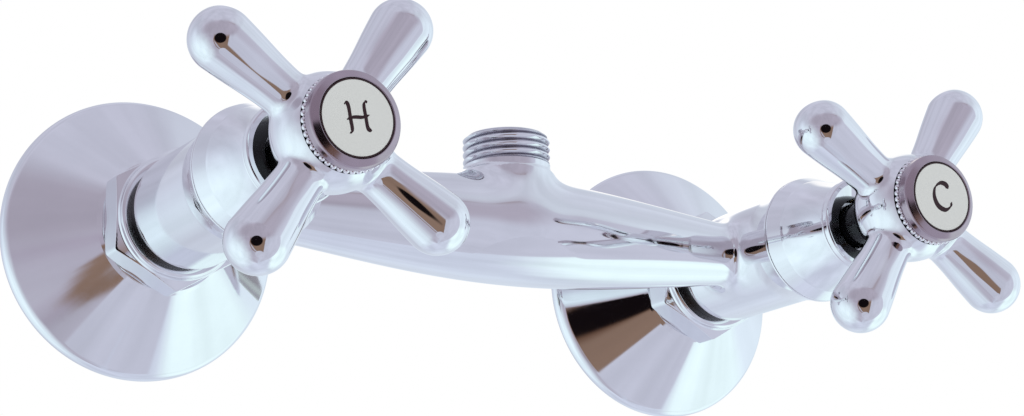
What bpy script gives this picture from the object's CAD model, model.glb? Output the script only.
"""Looks of a wall-mounted shower mixer tap with two cross-head handles.

Lengths are millimetres until a mesh is made, which turns them into metres.
Shapes are drawn in one of four frames. "hot" and "cold" are the two valves, with x to
the right, y up and s, the distance from the wall. "row" is the same about the middle
between the valves. "outlet" stands upright, with s the height above the valves' axes.
"""

import math

import bpy
import numpy as np
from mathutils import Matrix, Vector


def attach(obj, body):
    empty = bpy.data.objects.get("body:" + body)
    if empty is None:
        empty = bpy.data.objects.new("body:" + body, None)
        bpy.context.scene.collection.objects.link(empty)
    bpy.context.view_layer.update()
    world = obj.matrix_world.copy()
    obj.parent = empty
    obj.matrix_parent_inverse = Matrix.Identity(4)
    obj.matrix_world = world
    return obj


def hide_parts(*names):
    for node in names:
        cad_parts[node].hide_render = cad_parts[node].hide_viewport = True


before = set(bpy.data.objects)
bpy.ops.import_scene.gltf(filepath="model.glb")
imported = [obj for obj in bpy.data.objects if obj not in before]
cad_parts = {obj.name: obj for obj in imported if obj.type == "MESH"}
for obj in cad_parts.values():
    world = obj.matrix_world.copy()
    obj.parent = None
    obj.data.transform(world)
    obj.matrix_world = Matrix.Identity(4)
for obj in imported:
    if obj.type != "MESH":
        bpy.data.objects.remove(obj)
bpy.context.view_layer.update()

# The side of the middle on which each valve sits, and the body that its handle turns
SIDES = {"hot": -1, "cold": 1}
BODY_OF = {"hot": "hot_control", "cold": "cold_control"}

# Places along a valve's axis that are shared with the solid model
S_NUT = 17.6
S_RING = 27.8
S_BARREL = 30.4
S_TUBE = 47.5
S_FLARE = 59.5
S_BONNET = 69.5
S_LIP = 88.3
S_BALL = 104.4
S_BUTTON = 111.5
S_FACE = 116.4

# Other sizes shared with the solid model
HALF_CENTRES = 75.0
FLANGE_R = 34.0
NUT_ACROSS = 30.0
BARREL_R = 13.6
FLARE_R = 15.4
TUBE_R = 13.0
TUBE_DROP = 0.5
BALL_R = 12.6
HANDLE_TURN = 11.0
DISC_R = 8.1
RING_R = 10.2
OUTLET_TOP = 22.7
THREAD_R = 10.4775
THREAD_PITCH = 1.8143
THREAD_FOOT = 15.2

# Room between two pieces that touch, so that their skins don't run together
SEAM = 0.05
# Radius of the hole in the faces where barrel and bonnet meet
JOINT_HOLE_R = 12.4


# Mesh tools

def to_world(points, place):
    """Points of one of the four frames, in metres in the part's frame."""
    points = np.asarray(points, float)
    x, y, s = points[..., 0], points[..., 1], points[..., 2]
    if place == "outlet":
        out = np.stack([x, y - S_TUBE, s], -1)
    elif place == "row":
        out = np.stack([x, -s, y], -1)
    else:
        out = np.stack([x + SIDES[place] * HALF_CENTRES, -s, y], -1)
    return out / 1000.0


def turn_normals(normals, place):
    """Directions of one of the four frames, in the part's frame."""
    x, y, s = normals[..., 0], normals[..., 1], normals[..., 2]
    return np.stack([x, y, s], -1) if place == "outlet" else np.stack([x, -s, y], -1)


class Sheet:
    """Vertices, faces and vertex normals that grow until they become one mesh."""

    def __init__(self):
        self.points, self.normals, self.faces, self.count = [], [], [], 0

    def add(self, points, normals, faces):
        """Adds points in metres, with their normals and their quads."""
        points, normals = points.reshape(-1, 3), normals.reshape(-1, 3)
        size = np.linalg.norm(normals, axis=1, keepdims=True)
        self.points.append(points)
        self.normals.append(normals / np.maximum(size, 1e-12))
        self.faces.extend((np.asarray(faces) + self.count).tolist())
        self.count += len(points)

    def mesh(self, name, material):
        """Makes a smooth object of all that was added."""
        data = bpy.data.meshes.new(name)
        data.from_pydata(np.vstack(self.points).tolist(), [], self.faces)
        data.validate()
        data.shade_smooth()
        data.normals_split_custom_set_from_vertices(np.vstack(self.normals).tolist())
        data.materials.append(material)
        obj = bpy.data.objects.new(name, data)
        bpy.context.scene.collection.objects.link(obj)
        return obj


def grid_faces(rows, columns, closed=True):
    """Quads between the points of a rows x columns grid that may close on itself."""
    row, column = np.meshgrid(np.arange(rows - 1), np.arange(columns if closed else columns - 1),
                              indexing="ij")
    nxt = (column + 1) % columns
    corners = [row * columns + column, row * columns + nxt,
               (row + 1) * columns + nxt, (row + 1) * columns + column]
    return np.stack(corners, -1).reshape(-1, 4)


def corner_rows(here, before, after, fillet, arc_steps):
    """Rows of one point of an outline: one row, or an arc where it has a fillet.

    The arc takes no more than leg_share of the shorter leg beside the corner.
    """
    leg_share, straight = 0.48, 1e-3
    start, end = (math.atan2(v[1], v[0]) for v in (before, after))
    turn = (end - start + math.pi) % (2 * math.pi) - math.pi
    if fillet == 0.0 or abs(turn) < straight:
        angle = start + turn / 2
        return [(*here, -math.sin(angle), math.cos(angle))]
    room = leg_share * min(np.linalg.norm(before), np.linalg.norm(after))
    leg = min(fillet * math.tan(abs(turn) / 2), room)
    radius = leg / math.tan(abs(turn) / 2)
    side = math.copysign(1.0, turn)
    first = here - before / np.linalg.norm(before) * leg
    centre = first + side * radius * np.array((-math.sin(start), math.cos(start)))
    rows = []
    for k in range(arc_steps + 1):
        angle = start + turn * k / arc_steps
        normal = np.array((-math.sin(angle), math.cos(angle)))
        rows.append((*(centre - side * radius * normal), *normal))
    return rows


def outline(points, arc_steps=7):
    """Rounded outline: (s, r) is a point of a curve, (s, r, f) a corner with a fillet f.

    Gives rows of s, r and the outward normal, for an outside that runs along +s.
    """
    places = [np.array(p[:2], float) for p in points]
    last = len(points) - 1
    rows = []
    for i, p in enumerate(points):
        before = places[i] - places[i - 1] if i else places[1] - places[0]
        after = places[i + 1] - places[i] if i < last else before
        fillet = p[2] if len(p) > 2 and 0 < i < last else 0.0
        rows += corner_rows(places[i], before, after, fillet, arc_steps)
    return np.array(rows)


def round_axis(r, angle, s):
    """Radii, angles and places along the axis as x, y and s."""
    return np.stack([r * np.cos(angle), r * np.sin(angle), s + 0 * angle], -1)


def lathe(sheet, points, place, segments=192):
    """Adds an outline turned about the frame's own axis."""
    rows = outline(points)
    angle = np.linspace(0, 2 * np.pi, segments, endpoint=False)[None]
    s, r, normal_s, normal_r = (rows[:, k][:, None] for k in range(4))
    sheet.add(to_world(round_axis(r, angle, s), place),
              turn_normals(round_axis(normal_r, angle, normal_s), place),
              grid_faces(len(rows), segments))


def shaped_lathe(sheet, points, place, shape, segments=360):
    """Adds a turned outline whose radius shape(r, angle, s) changes round the axis."""
    rows = outline(points)
    angle = np.linspace(0, 2 * np.pi, segments, endpoint=False)[None]
    s, r = (rows[:, k][:, None] + 0 * angle for k in range(2))
    spots = round_axis(shape(r, angle, s), angle, s)
    along = np.gradient(spots, axis=0)
    wrapped = np.concatenate([spots[:, -1:], spots, spots[:, :1]], 1)
    around = (wrapped[:, 2:] - wrapped[:, :-2]) / 2
    sheet.add(to_world(spots, place), turn_normals(np.cross(around, along), place),
              grid_faces(len(rows), segments))


def with_steps(points, step=0.35, shortest=1.6):
    """An outline's points, with more of them put in where two are far apart."""
    fine = [points[0]]
    for a, b in zip(points, points[1:]):
        start, end = np.array(a[:2]), np.array(b[:2])
        gap = math.dist(start, end)
        if gap > shortest:
            fine += [tuple(start * (1 - t) + end * t)
                     for t in np.linspace(0, 1, int(gap / step) + 1)[1:-1]]
        fine.append(b)
    return fine


def soft_min(values, reach):
    """Smallest of several distances, with a fillet where two are within reach."""
    low = values[0]
    for other in values[1:]:
        near = np.clip(1 - np.abs(low - other) / reach, 0, 1)
        low = np.minimum(low, other) - near ** 3 * reach / 6
    return low


def gradient(field, points, h=0.002):
    """Slope of a distance field at some points."""
    out = np.empty_like(points)
    for axis in range(3):
        shift = np.zeros(3)
        shift[axis] = h
        out[:, axis] = (field(*(points + shift).T) - field(*(points - shift).T)) / (2 * h)
    return out


def move_to_nought(field, points, slope, longest=0.6, flattest=1e-9):
    """How far points lie along a slope from where the field is nought."""
    length = np.maximum((slope ** 2).sum(1), flattest)
    return slope * np.clip(field(*points.T) / length, -longest, longest)[:, None]


def onto_surface(field, points, steps=3):
    """Moves points along the slope until the field is nought there."""
    for _ in range(steps):
        points = points - move_to_nought(field, points, gradient(field, points))
    return points


def crossing_quads(inside, index):
    """A quad across each edge of the grid that passes through the surface."""
    faces = []
    for axis in range(3):
        solid, cell = np.moveaxis(inside, axis, 0), np.moveaxis(index, axis, 0)
        low_end, high_end = solid[:-1, 1:-1, 1:-1], solid[1:, 1:-1, 1:-1]
        i, j, k = np.nonzero(low_end != high_end)
        ring = np.stack([cell[i, j, k], cell[i, j + 1, k],
                         cell[i, j + 1, k + 1], cell[i, j, k + 1]], -1)
        forward = low_end[i, j, k] != (axis == 1)
        ring[~forward] = ring[~forward][:, ::-1]
        faces.append(ring)
    return np.vstack(faces)


def even_out(field, points, faces, rounds=4):
    """Draws points halfway to the middle of their neighbours and back to the surface."""
    edges = np.vstack([faces[:, [a, (a + 1) % 4]] for a in range(4)])
    neighbours = np.bincount(edges[:, 0], minlength=len(points))
    inner = neighbours > 2
    total = np.zeros_like(points)
    for _ in range(rounds):
        for a in range(3):
            total[:, a] = np.bincount(edges[:, 0], points[edges[:, 1], a], len(points))
        points[inner] += 0.5 * (total[inner] / neighbours[inner][:, None] - points[inner])
        points = onto_surface(field, points, steps=1)
    return onto_surface(field, points, steps=2)


def skin(field, low, high, step):
    """Even quad mesh over the surface of a distance field: points and faces."""
    axes = [np.arange(a, b + step, step) for a, b in zip(low, high)]
    inside = field(*np.meshgrid(*axes, indexing="ij")) < 0
    shifts = (0, 1)
    count = sum(inside[i:i - 1 or None, j:j - 1 or None, k:k - 1 or None].astype(np.int8)
                for i in shifts for j in shifts for k in shifts)
    mixed = (count > 0) & (count < 8)
    index = np.full(mixed.shape, -1)
    index[mixed] = np.arange(mixed.sum())
    cells = np.argwhere(mixed)
    points = np.stack([axes[a][cells[:, a]] + step / 2 for a in range(3)], -1)
    faces = crossing_quads(inside, index)
    return even_out(field, onto_surface(field, points), faces), faces


def cut(points, faces, field, normal, offset, near, rounds=4):
    """Leaves out what lies beyond a plane and fits the edge of the rest to the plane."""
    normal = np.array(normal, float)
    height = points @ normal - offset
    beyond = (height > 0) & near(points)
    faces = faces[~beyond[faces].all(1)]
    edge = np.unique(faces[beyond[faces]])
    rim = points[edge] - height[edge][:, None] * normal
    for _ in range(rounds):
        slope = gradient(field, rim)
        slope -= (slope @ normal)[:, None] * normal
        rim -= move_to_nought(field, rim, slope)
    points = points.copy()
    points[edge] = rim
    used, faces = np.unique(faces, return_inverse=True)
    return points[used], faces.reshape(-1, 4)


# Materials

def new_material(name, colour, metallic, roughness):
    """Principled material with the values that are the same all over it."""
    mat = bpy.data.materials.new(name)
    mat.use_nodes = True
    shader = mat.node_tree.nodes["Principled BSDF"]
    shader.inputs["Base Color"].default_value = (*colour, 1)
    shader.inputs["Metallic"].default_value = metallic
    shader.inputs["Roughness"].default_value = roughness
    return mat, mat.node_tree, shader


def noise(tree, scale, detail=3.0, roughness=0.5, stretch=None, over="Object"):
    """Noise over an object's own coordinates in metres, or over other coordinates."""
    where = tree.nodes.new("ShaderNodeTexCoord").outputs[over]
    node = tree.nodes.new("ShaderNodeTexNoise")
    node.inputs["Scale"].default_value = scale
    node.inputs["Detail"].default_value = detail
    node.inputs["Roughness"].default_value = roughness
    if stretch is not None:
        mapping = tree.nodes.new("ShaderNodeMapping")
        mapping.inputs["Scale"].default_value = stretch
        tree.links.new(where, mapping.inputs["Vector"])
        where = mapping.outputs["Vector"]
    tree.links.new(where, node.inputs["Vector"])
    return node.outputs["Fac"]


def number(tree, operation, *values):
    """One Math node; its values are sockets or plain numbers."""
    node = tree.nodes.new("ShaderNodeMath")
    node.operation = operation
    for k, value in enumerate(values):
        if isinstance(value, (int, float)):
            node.inputs[k].default_value = value
        else:
            tree.links.new(value, node.inputs[k])
    return node.outputs[0]


def length_of(tree, first, second):
    """Square root of the sum of two squares."""
    squares = [number(tree, "POWER", number(tree, "ABSOLUTE", value), 2.0)
               for value in (first, second)]
    return number(tree, "SQRT", number(tree, "ADD", *squares))


def ranged(tree, value, low, high, start=0.3, end=0.7):
    """Maps a value between start and end to low..high."""
    node = tree.nodes.new("ShaderNodeMapRange")
    node.inputs["From Min"].default_value = start
    node.inputs["From Max"].default_value = end
    node.inputs["To Min"].default_value = low
    node.inputs["To Max"].default_value = high
    tree.links.new(value, node.inputs["Value"])
    return node.outputs["Result"]


def tint(tree, value, dark, light, start=0.3, end=0.7):
    """Colour ramp over a value between start and end."""
    node = tree.nodes.new("ShaderNodeValToRGB")
    for element, place, colour in zip(node.color_ramp.elements, (start, end), (dark, light)):
        element.position = place
        element.color = (*colour, 1)
    tree.links.new(value, node.inputs["Fac"])
    return node.outputs["Color"]


def bump(tree, shader, value, strength, distance):
    """Bump from a value; distance is in metres."""
    node = tree.nodes.new("ShaderNodeBump")
    node.inputs["Strength"].default_value = strength
    node.inputs["Distance"].default_value = distance
    tree.links.new(value, node.inputs["Height"])
    tree.links.new(node.outputs["Normal"], shader.inputs["Normal"])


def dress(tree, shader, colour, roughness):
    """Links a colour and a roughness to a shader."""
    tree.links.new(colour, shader.inputs["Base Color"])
    tree.links.new(roughness, shader.inputs["Roughness"])


def scaled(colour, factor, more=0.0):
    """A colour made darker or lighter."""
    return tuple(c * factor + more for c in colour)


def plated(name, colour, roughness, spread, waves):
    """Polished plating: faint haze, a trace of tone change and buffing waves."""
    mat, tree, shader = new_material(name, colour, 1.0, roughness)
    haze = noise(tree, 90.0, detail=4.0, roughness=0.6)
    wear = noise(tree, 260.0, detail=5.0, roughness=0.65)
    dress(tree, shader, tint(tree, haze, scaled(colour, 0.965), colour),
          ranged(tree, wear, roughness, roughness + spread))
    buffing = noise(tree, 55.0, detail=1.0, roughness=0.4)
    bump(tree, shader, buffing, strength=waves, distance=0.0004)
    return mat


def turned(name, colour, roughness, lines):
    """Bare turned metal with fine tool lines across its axis."""
    mat, tree, shader = new_material(name, colour, 1.0, roughness)
    rings = noise(tree, 140.0, roughness=0.6, stretch=(1.0, lines, 1.0))
    dress(tree, shader, tint(tree, rings, scaled(colour, 0.82), colour),
          ranged(tree, rings, roughness * 0.8, roughness * 1.3))
    bump(tree, shader, rings, strength=0.25, distance=0.00005)
    return mat


def soiled_thread(name):
    """Plated thread whose grooves are dull and dark with old grease."""
    dirty, clean = (0.40, 0.39, 0.45), (0.86, 0.86, 0.89)
    root, crest = (THREAD_R - 0.6) / 1000, (THREAD_R + 0.22) / 1000
    mat, tree, shader = new_material(name, clean, 1.0, 0.1)
    where = tree.nodes.new("ShaderNodeTexCoord")
    axes = tree.nodes.new("ShaderNodeSeparateXYZ")
    tree.links.new(where.outputs["Object"], axes.inputs[0])
    depth = number(tree, "ADD", axes.outputs["Y"], S_TUBE / 1000)
    radius = length_of(tree, axes.outputs["X"], depth)
    spots = noise(tree, 320.0, detail=4.0, roughness=0.6)
    uneven = number(tree, "MULTIPLY_ADD", spots, 0.0005, radius)
    height = ranged(tree, uneven, 0.0, 1.0, start=root, end=crest)
    dress(tree, shader, tint(tree, height, dirty, clean, start=0.0, end=1.0),
          ranged(tree, height, 0.34, 0.06, start=0.0, end=1.0))
    bump(tree, shader, noise(tree, 900.0, roughness=0.6), strength=0.15, distance=0.00003)
    return mat


def rubber(name, colour, roughness, relief=0.3):
    """Moulded rubber, plastic, fibre or enamel: dark, with a fine grain."""
    mat, tree, shader = new_material(name, colour, 0.0, roughness)
    shader.inputs["Specular IOR Level"].default_value = 0.3
    grain = noise(tree, 1800.0, roughness=0.6)
    dress(tree, shader, tint(tree, grain, colour, scaled(colour, 1.5, 0.002)),
          ranged(tree, grain, roughness * 0.85, roughness * 1.1))
    bump(tree, shader, grain, strength=relief, distance=0.00004)
    return mat


def ceramic(name, colour, roughness, speckle):
    """Fired ceramic with a faint mottle under its glaze."""
    mat, tree, shader = new_material(name, colour, 0.0, roughness)
    cloud = noise(tree, 420.0, detail=4.0, roughness=0.6)
    dress(tree, shader, tint(tree, cloud, scaled(colour, 1 - speckle), colour),
          ranged(tree, noise(tree, 900.0), roughness * 0.8, roughness * 1.3))
    bump(tree, shader, noise(tree, 260.0, detail=2.0), strength=0.08, distance=0.00006)
    return mat


CHROME = plated("polished_chrome", (0.86, 0.862, 0.885),
                roughness=0.035, spread=0.03, waves=0.05)
RING_CHROME = plated("mauve_tinted_chrome", (0.47, 0.385, 0.43),
                     roughness=0.15, spread=0.06, waves=0.05)
BEAD_CHROME = plated("bead_chrome", (0.88, 0.85, 0.88),
                     roughness=0.14, spread=0.04, waves=0.03)
THREAD_CHROME = soiled_thread("plated_thread")
NICKEL = turned("dull_nickel_plate", (0.62, 0.60, 0.57), roughness=0.28, lines=14.0)
BRASS = turned("machined_brass", (0.72, 0.53, 0.26), roughness=0.24, lines=16.0)
STEEL = turned("bright_steel", (0.56, 0.57, 0.58), roughness=0.24, lines=12.0)
BLACK_RUBBER = rubber("black_rubber", (0.004, 0.004, 0.005), roughness=0.36, relief=0.15)
BLACK_PLASTIC = rubber("black_plastic", (0.003, 0.003, 0.004), roughness=0.16, relief=0.03)
WASHER_FIBRE = rubber("grey_fibre_washer", (0.045, 0.04, 0.038), roughness=0.7)
INK = rubber("fired_black_enamel", (0.020, 0.007, 0.009), roughness=0.3)
VALVE_CERAMIC = ceramic("valve_ceramic", (0.82, 0.80, 0.74), roughness=0.22, speckle=0.05)
INDEX_CERAMIC = ceramic("index_enamel", (0.63, 0.65, 0.625), roughness=0.16, speckle=0.014)

# Finish of each solid, by its node's name without hot or cold; the others are chrome
CAD_MATERIALS = {
    "eccentric_union": NICKEL, "union_washer": WASHER_FIBRE, "inlet_tail": BRASS,
    "stop_ring": BLACK_RUBBER, "headwork_body": BRASS, "headwork_seal": BLACK_RUBBER,
    "seat_seal": BLACK_RUBBER, "fixed_disc": VALVE_CERAMIC, "moving_disc": VALVE_CERAMIC,
    "spindle": BRASS, "spindle_seals": BLACK_RUBBER, "spindle_clip": STEEL,
    "spindle_sleeve": BLACK_PLASTIC, "handle_screw": STEEL,
    "index_ring": RING_CHROME, "index_disc": INDEX_CERAMIC,
}


def dress_cad_nodes():
    """Gives every solid of the frame its finish."""
    for name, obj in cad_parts.items():
        finish = CAD_MATERIALS.get(name.split("_", 1)[1], CHROME)
        obj.data.materials.clear()
        obj.data.materials.append(finish)


# Mixer body

# Where the skin of a barrel ends and its turned ends go on, and the skin's grid
SKIN_BACK, SKIN_FRONT = 31.6, 68.6
SKIN_STEP = 0.55
BORE_R = 10.0
NECK_R = THREAD_R - 0.05
# Reach of the fillets: between tube and barrels, between tube and neck at the thread's
# foot, and what the latter has more below the saddle's top
BARREL_FILLET = 5.2
THREAD_FILLET = 0.5
SADDLE_FILLET, SADDLE_TOP = 8.0, 13.0


def ease(t):
    """Smooth S between 0 and 1."""
    t = np.clip(t, 0.0, 1.0)
    return t * t * (3 - 2 * t)


def barrel_radius(s):
    """Barrel's outline: rounded back, straight middle, trumpet flare to the bonnet."""
    round_length, round_drop, round_most = 3.65, 1.25, 0.985
    flare_length, flare_power, flare_most = 9.2, 1.6, 1.1
    back = np.clip((S_BARREL + round_length - s) / round_length, 0, round_most)
    flare = np.clip((s - S_FLARE) / flare_length, 0, flare_most)
    drop = round_drop * (1 - np.sqrt(1 - back ** 2))
    return BARREL_R - drop + (FLARE_R - BARREL_R) * flare ** flare_power


def tube_radius(x):
    """Cross tube's outline: full in the middle, slim at the barrels."""
    taper, easing = 1.8966e-3, 1.415e-7
    return TUBE_R - taper * x ** 2 + easing * x ** 4


def body_field(x, y, s):
    """Distance to the outside of the one-piece body, before its ends are cut.

    Tube and neck end inside what they join, a little past its axis.
    """
    past_axis = 2.0
    side = np.hypot(np.abs(x) - HALF_CENTRES, y) - barrel_radius(s)
    tube = np.hypot(s - S_TUBE, y + TUBE_DROP) - tube_radius(x)
    tube = np.maximum(tube, np.abs(x) - HALF_CENTRES - past_axis)
    neck = np.hypot(x, s - S_TUBE) - NECK_R
    neck = np.maximum(neck, -y - past_axis)
    rise = ease((y - SADDLE_TOP) / (THREAD_FOOT - SADDLE_TOP))
    upper = soft_min([tube, neck], THREAD_FILLET + SADDLE_FILLET * (1 - rise))
    return soft_min([side, upper], BARREL_FILLET)


def near_barrels(points, inner=56.0):
    """Whether points of the body are part of a barrel."""
    return np.abs(points[:, 0]) > inner


def near_outlet(points, outer=20.0):
    """Whether points of the body are near the outlet."""
    return np.abs(points[:, 0]) < outer


def add_barrel_ends(sheet, side):
    """Adds the turned ends of one barrel, with the mouths of its bores."""
    s_back, s_front = S_BARREL + SEAM, S_BONNET - SEAM
    back = [(S_BARREL + 5, BORE_R), (s_back, BORE_R, 0.2), (s_back, 12.3, 0.1)]
    back += [(s, float(barrel_radius(s))) for s in np.linspace(S_BARREL + 0.1, SKIN_BACK, 9)]
    lathe(sheet, back, side, segments=224)
    front = [(s, float(barrel_radius(s))) for s in np.linspace(SKIN_FRONT, S_BONNET - 0.4, 4)]
    front += [(s_front, FLARE_R, 0.14), (s_front, JOINT_HOLE_R)]
    lathe(sheet, front, side, segments=224)


def build_body():
    """Skin of the body, its turned ends, the outlet's thread and the open bores."""
    sheet = Sheet()
    box_low, box_high = (-92.0, -17.0, 30.8), (92.0, 17.1, 69.4)
    points, faces = skin(body_field, box_low, box_high, SKIN_STEP)
    trims = [((0, 0, -1), -SKIN_BACK, near_barrels), ((0, 0, 1), SKIN_FRONT, near_barrels),
             ((0, 1, 0), THREAD_FOOT, near_outlet)]
    for trim in trims:
        points, faces = cut(points, faces, body_field, *trim)
    normals = gradient(body_field, points)
    sheet.add(to_world(points, "row"), turn_normals(normals, "row"), faces)
    for side in SIDES:
        add_barrel_ends(sheet, side)
    build_thread()
    add_outlet_ends(sheet)
    body = sheet.mesh("mixer_body_cast", CHROME)
    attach(body, "tap_body")
    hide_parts("mixer_body")


# The outlet's thread: its upper end, its depth, and the radii of the plain parts beyond
# its ends and of its mouth
THREAD_TOP = OUTLET_TOP - 0.25
THREAD_DEPTH = 0.95
PLAIN_R = THREAD_R - 0.85
MOUTH_R = THREAD_R - THREAD_DEPTH


def thread_radius(angle, z):
    """Half-inch pipe thread with rounded crests, run out at both ends."""
    sharpness, crest_power = 0.97, 0.5
    run_start, run_length, mouth_slope = 0.15, 0.5, 1.25
    turn = (z - THREAD_FOOT) / THREAD_PITCH - angle / (2 * np.pi)
    wave = np.arcsin(sharpness * np.sin(2 * np.pi * turn)) / math.asin(sharpness)
    crest = THREAD_R - THREAD_DEPTH * (1 - (0.5 + wave / 2) ** crest_power)
    fade = ease((z - THREAD_FOOT - run_start) / run_length) * ease((THREAD_TOP - z) / run_length)
    mouth = MOUTH_R + (THREAD_TOP - z) * mouth_slope
    return np.minimum(PLAIN_R + (crest - PLAIN_R) * fade, mouth)


def build_thread():
    """The outlet's thread as a real helix."""
    sheet, rings = Sheet(), 120
    rows = [(z, THREAD_R) for z in np.linspace(THREAD_FOOT + 0.2, THREAD_TOP, rings)]
    shaped_lathe(sheet, rows, "outlet", lambda r, angle, z: thread_radius(angle, z), segments=320)
    thread = sheet.mesh("outlet_thread", THREAD_CHROME)
    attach(thread, "tap_body")


def add_outlet_ends(sheet):
    """Adds the shoulder below the outlet's thread, its flat mouth and its open bore."""
    shoulder = [(THREAD_FOOT - 0.02, THREAD_R - 0.04), (THREAD_FOOT + 0.1, THREAD_R - 0.75, 0.1),
                (THREAD_FOOT + 0.35, PLAIN_R)]
    lathe(sheet, shoulder, "outlet", segments=256)
    bore, chamfer, widening, floor = 7.3, 0.25, 3.0, -5.0
    mouth = [(THREAD_TOP - 0.01, MOUTH_R), (OUTLET_TOP, MOUTH_R - chamfer, 0.12),
             (OUTLET_TOP, bore + 0.35, 0.15), (OUTLET_TOP - 0.4, bore, 0.15),
             (widening, bore, 0.6), (floor, bore, 0.8), (floor, 0.05)]
    lathe(sheet, mouth, "outlet")


# Turned pieces

def build_flange(side):
    """Spun wall flange with a rolled rim."""
    sheet = Sheet()
    s_roll, roll_depth, roll_r, hole_r = 0.9, 3.8, 4.5, 13.6
    roll_start, roll_end, roll_rings = -0.2, 0.8, 18
    inside = (1.0, FLANGE_R - 3.4)
    points = [inside, (SEAM, FLANGE_R - 2.6, 0.3), (SEAM, FLANGE_R - 0.5, 0.2)]
    points += [(s_roll + roll_depth * math.sin(a), FLANGE_R - roll_r + roll_r * math.cos(a))
               for a in np.linspace(roll_start, roll_end, roll_rings)]
    points += [(S_NUT - 0.74, 16.5, 1.5), (S_NUT - SEAM, 15.6, 0.3), (S_NUT - SEAM, hole_r, 0.2)]
    points += [(S_NUT - 1.6, hole_r, 0.3), (S_NUT - 2.4, 15.2, 1.2), (2.3, FLANGE_R - 3.9, 1.0)]
    points += [inside]
    lathe(sheet, points, side, segments=288)
    return sheet.mesh(side + "_spun_flange", CHROME)


def nut_radius(r, angle, s):
    """Radius kept within a hexagon with softened corners."""
    sharpness, softness = 70, 0.66
    reach = sum(np.abs(np.cos(angle - k * math.pi / 3)) ** sharpness for k in range(3))
    return soft_min([r, NUT_ACROSS / 2 / reach ** (1 / sharpness)], softness)


def build_nut(side):
    """Union nut: hexagon, round front lip and open back."""
    sheet = Sheet()
    corner, lip_r, back_r, hole_r = NUT_ACROSS / math.sqrt(3), 14.5, 13.3, 10.3
    points = [(S_NUT + 3, back_r), (S_NUT + 0.1, back_r, 0.2), (S_NUT + 0.1, 14.7, 0.2)]
    points += [(S_NUT + 1.2, corner + 0.1, 0.3), (S_RING - 3.1, corner + 0.3, 0.6)]
    points += [(S_RING - 2.3, lip_r + 0.25, 0.35), (S_RING - 1.7, lip_r, 0.4)]
    points += [(S_RING - 0.55, lip_r - 0.05, 0.5), (S_RING - SEAM, 13.9, 0.4)]
    points += [(S_RING - SEAM, hole_r, 0.2), (S_RING - 1.4, hole_r)]
    shaped_lathe(sheet, with_steps(points), side, nut_radius)
    return sheet.mesh(side + "_hex_nut", CHROME)


def build_bonnet(side):
    """Bonnet: shoulder cone, crease, bell-shaped skirt and dished front."""
    sheet = Sheet()
    crease_r, front_r, hole_r, bell_power = 13.9, 11.2, 6.35, 1.8
    s_crease, s_groove = S_BONNET + 4, S_LIP - 2.0
    points = [(S_BONNET + SEAM, JOINT_HOLE_R), (S_BONNET + SEAM, FLARE_R, 0.14)]
    points += [(S_BONNET + 0.5, FLARE_R, 0.3), (s_crease - 0.1, crease_r, 0.3)]
    points += [(s_crease + (s_groove - s_crease) * t,
                front_r + (crease_r - front_r) * (1 - t) ** bell_power)
               for t in np.linspace(0.02, 1, 24)]
    points += [(s_groove + 0.15, front_r - 0.3, 0.15), (s_groove + 0.4, front_r - 0.3, 0.12)]
    points += [(s_groove + 0.45, front_r + 0.25, 0.2), (S_LIP, front_r + 0.1, 0.6)]
    points += [(S_LIP, 9.9, 0.4), (S_LIP - 1.7, hole_r, 0.3), (S_LIP - 3.6, hole_r, 0.2)]
    points += [(S_LIP - 3.6, 7.6)]
    lathe(sheet, points, side, segments=224)
    return sheet.mesh(side + "_bell_bonnet", CHROME)


# Handles

# An arm is a cone with ball ends at these places along it, with a slight waist
ARM_START, ARM_END = 6.0, 28.9
ARM_R, TIP_R = 4.7, 6.85
WAIST_DEPTH, WAIST_PLACE, WAIST_SPREAD = 0.22, 17.0, 5.5
HANDLE_FILLET = 2.6
HANDLE_STEP = 0.5


def round_cone(x, r, x1, r1, x2, r2):
    """Distance to a cone with ball ends, from its place along and off its axis."""
    lean = (r1 - r2) / (x2 - x1)
    rise = math.sqrt(1 - lean * lean)
    cap1 = np.hypot(x - x1, r) - r1
    cap2 = np.hypot(x - x2, r) - r2
    cone = (x - x1) * lean + r * rise - r1
    foot = (x - x1) - r * lean / rise
    return np.where(foot < 0, cap1, np.where(foot > x2 - x1, cap2, cone))


def handle_field(x, y, s):
    """Distance to the outside of a cross handle in its valve's frame."""
    turn = math.radians(45 + HANDLE_TURN)
    a = np.abs(x * math.cos(turn) + y * math.sin(turn))
    b = np.abs(y * math.cos(turn) - x * math.sin(turn))
    h = s - S_BALL
    shapes = [np.sqrt(x * x + y * y + h * h) - BALL_R]
    for along, off in ((a, b), (b, a)):
        waist = WAIST_DEPTH * np.exp(-((along - WAIST_PLACE) / WAIST_SPREAD) ** 2)
        arm = round_cone(along, np.hypot(off, h), ARM_START, ARM_R, ARM_END, TIP_R)
        shapes.append(arm + waist)
    return soft_min(shapes, HANDLE_FILLET)


def under_button(points, reach=12.0):
    """Whether points of the handle lie where the index button sits."""
    return np.hypot(points[:, 0], points[:, 1]) < reach


def build_handle(side):
    """Cross handle, cut flat where the index button sits."""
    sheet = Sheet()
    reach, depth = 33.5, 14.0
    low, high = (-reach, -reach, S_BALL - depth), (reach, reach, S_BALL + depth)
    points, faces = skin(handle_field, low, high, HANDLE_STEP)
    points, faces = cut(points, faces, handle_field, (0, 0, 1), S_BUTTON + 0.1, under_button)
    normals = gradient(handle_field, points)
    sheet.add(to_world(points, side), turn_normals(normals, side), faces)
    return sheet.mesh(side + "_cross_handle", CHROME)


# Index buttons

GROOVE_R = 9.75
DISC_HOLE_R = 8.24
HUB_R, HUB_HOLE_R = 7.9, 6.6
BEADS, BEAD_R, BEAD_ROW_R, S_BEADS = 44, 0.74, 9.84, S_BUTTON + 0.87


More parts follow.
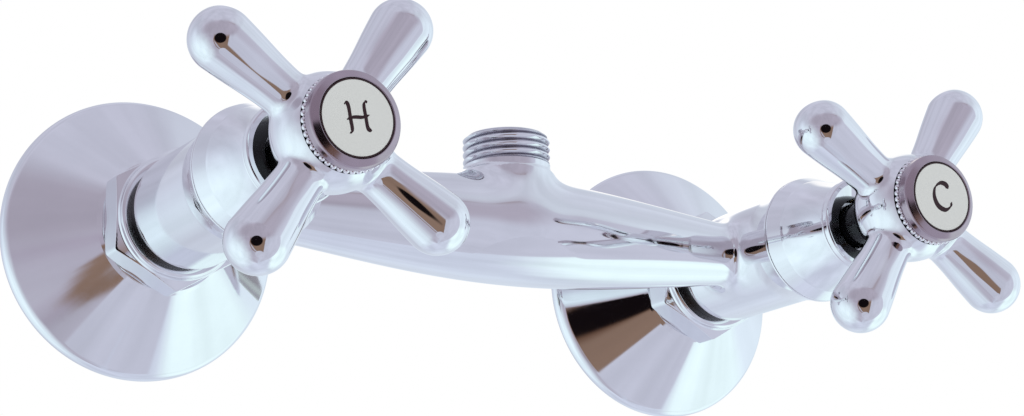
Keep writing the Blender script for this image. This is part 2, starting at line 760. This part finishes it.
def build_ring(side):
    """Index button's ring: groove for the beads at the back, smooth bezel in front."""
    sheet = Sheet()
    s_back = S_BUTTON - 4.8
    points = [(s_back, HUB_HOLE_R), (s_back, HUB_R, 0.2), (S_BUTTON, HUB_R, 0.1)]
    points += [(S_BUTTON, GROOVE_R, 0.15), (S_BUTTON + 1.7, GROOVE_R, 0.15)]
    points += [(S_BUTTON + 1.75, GROOVE_R + 0.4, 0.1), (S_BUTTON + 2.3, RING_R, 0.3)]
    points += [(S_FACE - 0.98, RING_R - 0.02, 1.0), (S_FACE - SEAM, 8.45, 0.12)]
    points += [(S_FACE - 0.3, DISC_HOLE_R, 0.1), (S_FACE - 1.2, DISC_HOLE_R, 0.1)]
    points += [(S_FACE - 1.25, HUB_HOLE_R)]
    lathe(sheet, points, side, segments=224)
    return sheet.mesh(side + "_index_bezel", RING_CHROME)


def add_bead(sheet, centre, side, rings=9, segments=14):
    """Adds one small round bead."""
    polar = np.linspace(0.001, np.pi - 0.001, rings)[:, None]
    angle = np.linspace(0, 2 * np.pi, segments, endpoint=False)[None]
    normals = round_axis(np.sin(polar), angle, -np.cos(polar))
    spots = np.asarray(centre, float) + normals * BEAD_R
    sheet.add(to_world(spots, side), turn_normals(normals, side), grid_faces(rings, segments))


def build_beads(side):
    """Row of round beads behind the bezel."""
    sheet = Sheet()
    for k in range(BEADS):
        angle = 2 * math.pi * (k + 0.5) / BEADS
        add_bead(sheet, (BEAD_ROW_R * math.cos(angle), BEAD_ROW_R * math.sin(angle), S_BEADS),
                 side)
    row = sheet.mesh(side + "_bead_row", BEAD_CHROME)
    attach(row, BODY_OF[side])


def dome(r):
    """Place along the axis of the disc's domed face, at a radius."""
    edge_depth, rise = 0.16, 0.2
    return S_FACE - edge_depth + rise * (1 - (r / DISC_R) ** 2)


def build_disc(side):
    """Enamelled disc, slightly domed, with a rounded edge."""
    sheet = Sheet()
    points = [(S_FACE - 1.2, DISC_R), (S_FACE - 0.22, DISC_R, 0.15)]
    points += [(dome(r), r) for r in np.linspace(DISC_R - 0.3, 0.02, 12)]
    lathe(sheet, points, side)
    return sheet.mesh(side + "_enamel_disc", INDEX_CERAMIC)


# Marks

# The letters as pen paths in millimetres from the disc's middle, with x to the right
LETTER_STROKES = {
    "hot": [[(-2.6, 2.9), (-2.0, 3.2), (-1.7, 2.4), (-1.75, 0.0), (-1.8, -2.4), (-2.5, -3.1)],
            [(2.7, 3.1), (2.1, 3.0), (1.75, 2.2), (1.7, 0.0), (1.75, -2.3), (2.5, -2.9)],
            [(-2.6, -0.2), (-1.0, 0.15), (1.0, 0.0), (2.6, 0.35)]],
    "cold": [[(2.3, 1.7), (1.7, 2.8), (0.2, 3.2), (-1.6, 2.3), (-2.4, 0.2), (-1.8, -2.0),
              (0.0, -3.1), (1.7, -2.6), (2.5, -1.5)]],
}
# Width of the pen at its broadest and at its thinnest, and the slope of its edge
NIB = {"hot": 0.62, "cold": 1.0}
HAIRLINE = 0.16
PEN_SLOPE = 38.0
INK_HEIGHT = 0.05


def smooth_path(path, steps=14):
    """Smooth line through a path's points, and each spot's place in the path."""
    path = np.array(path, float)
    place = np.linspace(0, len(path) - 1, steps * (len(path) - 1) + 1)
    padded = np.vstack([2 * path[0] - path[1], path, 2 * path[-1] - path[-2]])
    k = np.minimum(place.astype(int), len(path) - 2)
    u = (place - k)[:, None]
    p0, p1, p2, p3 = (padded[k + n] for n in range(4))
    line = 0.5 * (2 * p1 + (p2 - p0) * u + (2 * p0 - 5 * p1 + 4 * p2 - p3) * u ** 2
                  + (3 * p1 - p0 - 3 * p2 + p3) * u ** 3)
    return line, place


def pen_stroke(sheet, path, side):
    """Adds a stroke of a broad pen through some points, as a thin raised ribbon."""
    line, place = smooth_path(path)
    along = np.gradient(line, axis=0)
    along /= np.linalg.norm(along, axis=1, keepdims=True)
    across = np.stack([-along[:, 1], along[:, 0]], 1)
    pen = np.array((math.cos(math.radians(PEN_SLOPE)), math.sin(math.radians(PEN_SLOPE))))
    end_width, end_slope = 0.25, 2.2
    ends = np.minimum(1.0, np.minimum(place, place[-1] - place) * end_slope + end_width)
    half = (HAIRLINE + NIB[side] / 2 * np.abs(across @ pen)) * ends
    turn = math.radians(HANDLE_TURN)
    spin = np.array([[math.cos(turn), -math.sin(turn)], [math.sin(turn), math.cos(turn)]])
    rows = []
    for offset, lift in ((-1.0, 0.0), (-0.8, INK_HEIGHT), (0.8, INK_HEIGHT), (1.0, 0.0)):
        spot = (line + across * (half * offset)[:, None]) @ spin.T
        rows.append(np.column_stack([spot, dome(np.linalg.norm(spot, axis=1)) + lift]))
    spots = np.stack(rows, 1)
    normals = np.zeros_like(spots)
    normals[..., 2] = 1.0
    faces = grid_faces(len(line), 4, closed=False)[:, ::-1]
    sheet.add(to_world(spots, side), turn_normals(normals, side), faces)


def build_mark(side):
    """Plain H or C of the hot and the cold side, and the dark line round the disc."""
    sheet = Sheet()
    for stroke in LETTER_STROKES[side]:
        pen_stroke(sheet, stroke, side)
    s_line, line_foot, outer, inner = dome(7.72), 0.02, 8.2, 7.84
    lathe(sheet, [(s_line - 0.1, outer), (s_line + line_foot, outer - 0.04, 0.02),
                  (s_line + INK_HEIGHT, inner + 0.04, 0.02), (s_line - line_foot, inner)], side)
    mark = sheet.mesh(side + "_index_mark", INK)
    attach(mark, BODY_OF[side])


FIXED_PIECES = {"wall_flange": build_flange, "union_nut": build_nut, "bonnet": build_bonnet}
TURNING_PIECES = {"handle": (build_handle, "chrome"), "index_ring": (build_ring, "ring_chrome"),
                  "index_disc": (build_disc, "index_ceramic")}


def build_side(side):
    """All pieces of one valve that are finer than their solids."""
    for node, maker in FIXED_PIECES.items():
        piece = maker(side)
        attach(piece, "tap_body")
        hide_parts(f"{side}_{node}")
    for node, (maker, finish) in TURNING_PIECES.items():
        piece = maker(side)
        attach(piece, BODY_OF[side])
        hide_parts(f"{side}_{node}")
    build_beads(side)
    build_mark(side)


# Studio

CAMERA_SPOT = (-273.55, -504.29, -127.47)
CAMERA_TURN = (103.992, 1.508, -30.649)
CAMERA_LENS = 80.86

WHITE = (1.0, 1.0, 1.0)
# What matt surfaces are lit by, near the level at which colours show as they are written
PLAIN_LEVEL = (0.78, 0.78, 0.80)


def add_camera():
    """Camera at the photograph's place: to the left, in front and a little below."""
    data = bpy.data.cameras.new("camera")
    data.lens = CAMERA_LENS
    data.sensor_width = 36.0
    data.clip_start = 0.02
    data.clip_end = 20.0
    camera = bpy.data.objects.new("camera", data)
    camera.location = [v / 1000 for v in CAMERA_SPOT]
    camera.rotation_euler = [math.radians(v) for v in CAMERA_TURN]
    bpy.context.scene.collection.objects.link(camera)
    bpy.context.scene.camera = camera


def add_lamp(name, direction, strength, spread):
    """Far soft lamp whose light comes from a direction, with a spread in degrees.

    Metal doesn't mirror it.
    """
    data = bpy.data.lights.new(name, "SUN")
    data.energy = strength
    data.angle = math.radians(spread)
    lamp = bpy.data.objects.new(name, data)
    lamp.location = direction
    lamp.rotation_euler = Vector(direction).to_track_quat("Z", "Y").to_euler()
    lamp.visible_glossy = False
    bpy.context.scene.collection.objects.link(lamp)


# The light tent that the chrome mirrors. Each panel: azimuth from the wall towards +X
# and elevation of its middle, half its width and height, all in degrees, the share of
# that over which its border fades, and its colour
TENT_CLOTH = (0.50, 0.49, 0.59)
TENT_PANELS = {
    "roof": (0, 90, 400, 45, 0.88, (0.60, 0.61, 0.73)),
    "lower cloth": (58, -86, 136, 60, 0.60, (0.66, 0.71, 0.85)),
    "front cloth": (251, -21, 97, 22, 0.40, (0.42, 0.38, 0.48)),
    "left glow": (89, 0, 76, 43, 1.80, (0.82, 0.94, 1.04)),
    "left soft box": (94, -34, 42, 25, 0.45, (0.92, 1.10, 1.13)),
    "right glow": (311, -13, 35, 43, 1.80, (0.71, 0.79, 0.92)),
    "right soft box": (295, -33, 45, 35, 1.35, (0.89, 1.05, 1.13)),
    "backdrop": (32, 28, 10, 13, 0.91, (1.15, 1.14, 1.14)),
    "fold beside the gap": (160, 13, 20, 14, 1.5, (0.40, 0.385, 0.47)),
    "seam of the fold": (163, 22, 10, 2.4, 1.0, (0.16, 0.15, 0.19)),
}
# What shows in the gap of the tent: a table, the cloths on and round it, and a dark room
TENT_GAP = {
    "table": (180, -21, 51.7, 38.2, 0.03, (0.265, 0.175, 0.135)),
    "bright cloth on the table": (180, -21, 48.6, 35.3, 0.05, (0.50, 0.50, 0.60)),
    "table top in front of it": (180, -5, 48.4, 49.8, 0.04, (0.255, 0.170, 0.130)),
    "cloth left of the table": (150, -25, 29, 60, 0.10, (0.60, 0.62, 0.74)),
    "cloth below the table": (194, -57, 24, 12, 0.15, (0.60, 0.62, 0.74)),
    "shaded edge": (216, -14, 13, 14, 0.4, (0.14, 0.075, 0.05)),
    "cloth above the table": (203, 23, 62, 27, 0.50, (0.44, 0.41, 0.50)),
    "dark room": (207, -12, 20, 17, 0.12, (0.006, 0.004, 0.005)),
}


def blend(tree, factor, under, over):
    """Lays a colour over another by a factor."""
    node = tree.nodes.new("ShaderNodeMix")
    node.data_type = "RGBA"
    tree.links.new(factor, node.inputs["Factor"])
    for socket, value in ((node.inputs[6], under), (node.inputs[7], over)):
        if isinstance(value, tuple):
            socket.default_value = (*value, 1)
        else:
            tree.links.new(value, socket)
    return node.outputs[2]


def wander(tree, scale, spread, middle=0.0, stretch=None):
    """Noise over the direction of view that spreads about a middle value."""
    raw = noise(tree, scale, stretch=stretch, over="Generated")
    return number(tree, "MULTIPLY_ADD", raw, spread, middle - spread / 2)


def view_angles(tree):
    """Azimuth from the wall towards +X, and elevation, of the direction of view."""
    where = tree.nodes.new("ShaderNodeTexCoord")
    axes = tree.nodes.new("ShaderNodeSeparateXYZ")
    tree.links.new(where.outputs["Generated"], axes.inputs[0])
    minus = [number(tree, "MULTIPLY", axes.outputs[k], -1.0) for k in (0, 1)]
    degrees = 180 / math.pi
    azimuth = number(tree, "MULTIPLY", number(tree, "ARCTAN2", *minus), degrees)
    azimuth = number(tree, "ADD", azimuth, 180.0)
    elevation = number(tree, "MULTIPLY", number(tree, "ARCSINE", axes.outputs[2]), degrees)
    return azimuth, elevation


def patch(tree, azimuth, elevation, panel, border):
    """1 inside a panel of the tent, falling smoothly to 0 across its uneven border."""
    middle_azimuth, middle_elevation, half_width, half_height, soft = panel
    off = number(tree, "WRAP", number(tree, "SUBTRACT", azimuth, middle_azimuth), 180.0, -180.0)
    across = number(tree, "DIVIDE", off, half_width)
    up = number(tree, "DIVIDE", number(tree, "SUBTRACT", elevation, middle_elevation),
                half_height)
    reach = number(tree, "ADD", length_of(tree, across, up), border)
    node = tree.nodes.new("ShaderNodeMapRange")
    node.interpolation_type = "SMOOTHSTEP"
    node.inputs["From Min"].default_value = 1 + soft / 2
    node.inputs["From Max"].default_value = 1 - soft / 2
    tree.links.new(reach, node.inputs["Value"])
    return node.outputs["Result"]


def tent_colour(tree):
    """Colour of the tent in the direction of view, with its folds."""
    azimuth, elevation = view_angles(tree)
    ragged = wander(tree, scale=5.0, spread=0.08)
    wavy = wander(tree, scale=2.6, spread=0.34)
    creases = wander(tree, scale=3.2, spread=0.44, middle=1.0, stretch=(1.0, 1.0, 0.35))
    tent = TENT_CLOTH
    for panels, border in ((TENT_PANELS, wavy), (TENT_GAP, ragged)):
        for *panel, colour in panels.values():
            tent = blend(tree, patch(tree, azimuth, elevation, panel, border), tent, colour)
    folds = tree.nodes.new("ShaderNodeVectorMath")
    folds.operation = "SCALE"
    tree.links.new(tent, folds.inputs[0])
    tree.links.new(creases, folds.inputs["Scale"])
    return folds.outputs[0]


def add_world():
    """White background for the camera, the tent for metal, a plain level for the rest."""
    world = bpy.data.worlds.new("studio")
    bpy.context.scene.world = world
    world.use_nodes = True
    tree = world.node_tree
    path = tree.nodes.new("ShaderNodeLightPath")
    mirrored = number(tree, "MAXIMUM", path.outputs["Is Glossy Ray"],
                      path.outputs["Is Transmission Ray"])
    colour = blend(tree, mirrored, PLAIN_LEVEL, tent_colour(tree))
    colour = blend(tree, path.outputs["Is Camera Ray"], colour, WHITE)
    back = tree.nodes["Background"]
    tree.links.new(colour, back.inputs["Color"])
    back.inputs["Strength"].default_value = 1.0


# The floor, in metres: its height, half its side, and the distances from the part's
# middle between which it runs out into the white background
FLOOR_HEIGHT = -0.42
FLOOR_REACH = 6.0
FADE_START, FADE_END = 0.45, 1.9


def floor_material():
    """Pale matt floor that shows the shadow and runs out into the white background."""
    mat, tree, shader = new_material("pale_floor", (0.86, 0.86, 0.87), 0.0, 0.8)
    grain = tint(tree, noise(tree, 40.0), (0.85, 0.85, 0.86), (0.87, 0.87, 0.88))
    tree.links.new(grain, shader.inputs["Base Color"])
    where = tree.nodes.new("ShaderNodeTexCoord")
    away = tree.nodes.new("ShaderNodeVectorMath")
    away.operation = "LENGTH"
    tree.links.new(where.outputs["Object"], away.inputs[0])
    far = ranged(tree, away.outputs["Value"], 0.0, 1.0, FADE_START, FADE_END)
    seen = tree.nodes.new("ShaderNodeLightPath").outputs["Is Camera Ray"]
    white = tree.nodes.new("ShaderNodeEmission")
    mix = tree.nodes.new("ShaderNodeMixShader")
    tree.links.new(number(tree, "MULTIPLY", far, seen), mix.inputs[0])
    tree.links.new(shader.outputs[0], mix.inputs[1])
    tree.links.new(white.outputs[0], mix.inputs[2])
    tree.links.new(mix.outputs[0], tree.nodes["Material Output"].inputs["Surface"])
    return mat


def add_floor():
    """Plain pale floor well below the tap."""
    sheet = Sheet()
    lines = 24
    grid = np.linspace(-FLOOR_REACH, FLOOR_REACH, lines)
    x, y = np.meshgrid(grid, grid)
    spots = np.stack([x, y, np.full_like(x, FLOOR_HEIGHT)], -1)
    normals = np.zeros_like(spots)
    normals[..., 2] = 1
    sheet.add(spots, normals, grid_faces(lines, lines, closed=False))
    floor = sheet.mesh("floor", floor_material())
    floor.visible_glossy = False


def add_studio():
    """Camera, surroundings, floor and lamps."""
    add_camera()
    add_world()
    add_floor()
    add_lamp("key", (-0.9, -1.3, 1.1), strength=0.6, spread=30.0)
    add_lamp("fill", (1.2, -0.9, 0.4), strength=0.35, spread=60.0)


dress_cad_nodes()
build_body()
for side in SIDES:
    build_side(side)
add_studio()
view = bpy.context.scene.view_settings
view.view_transform = "Standard"
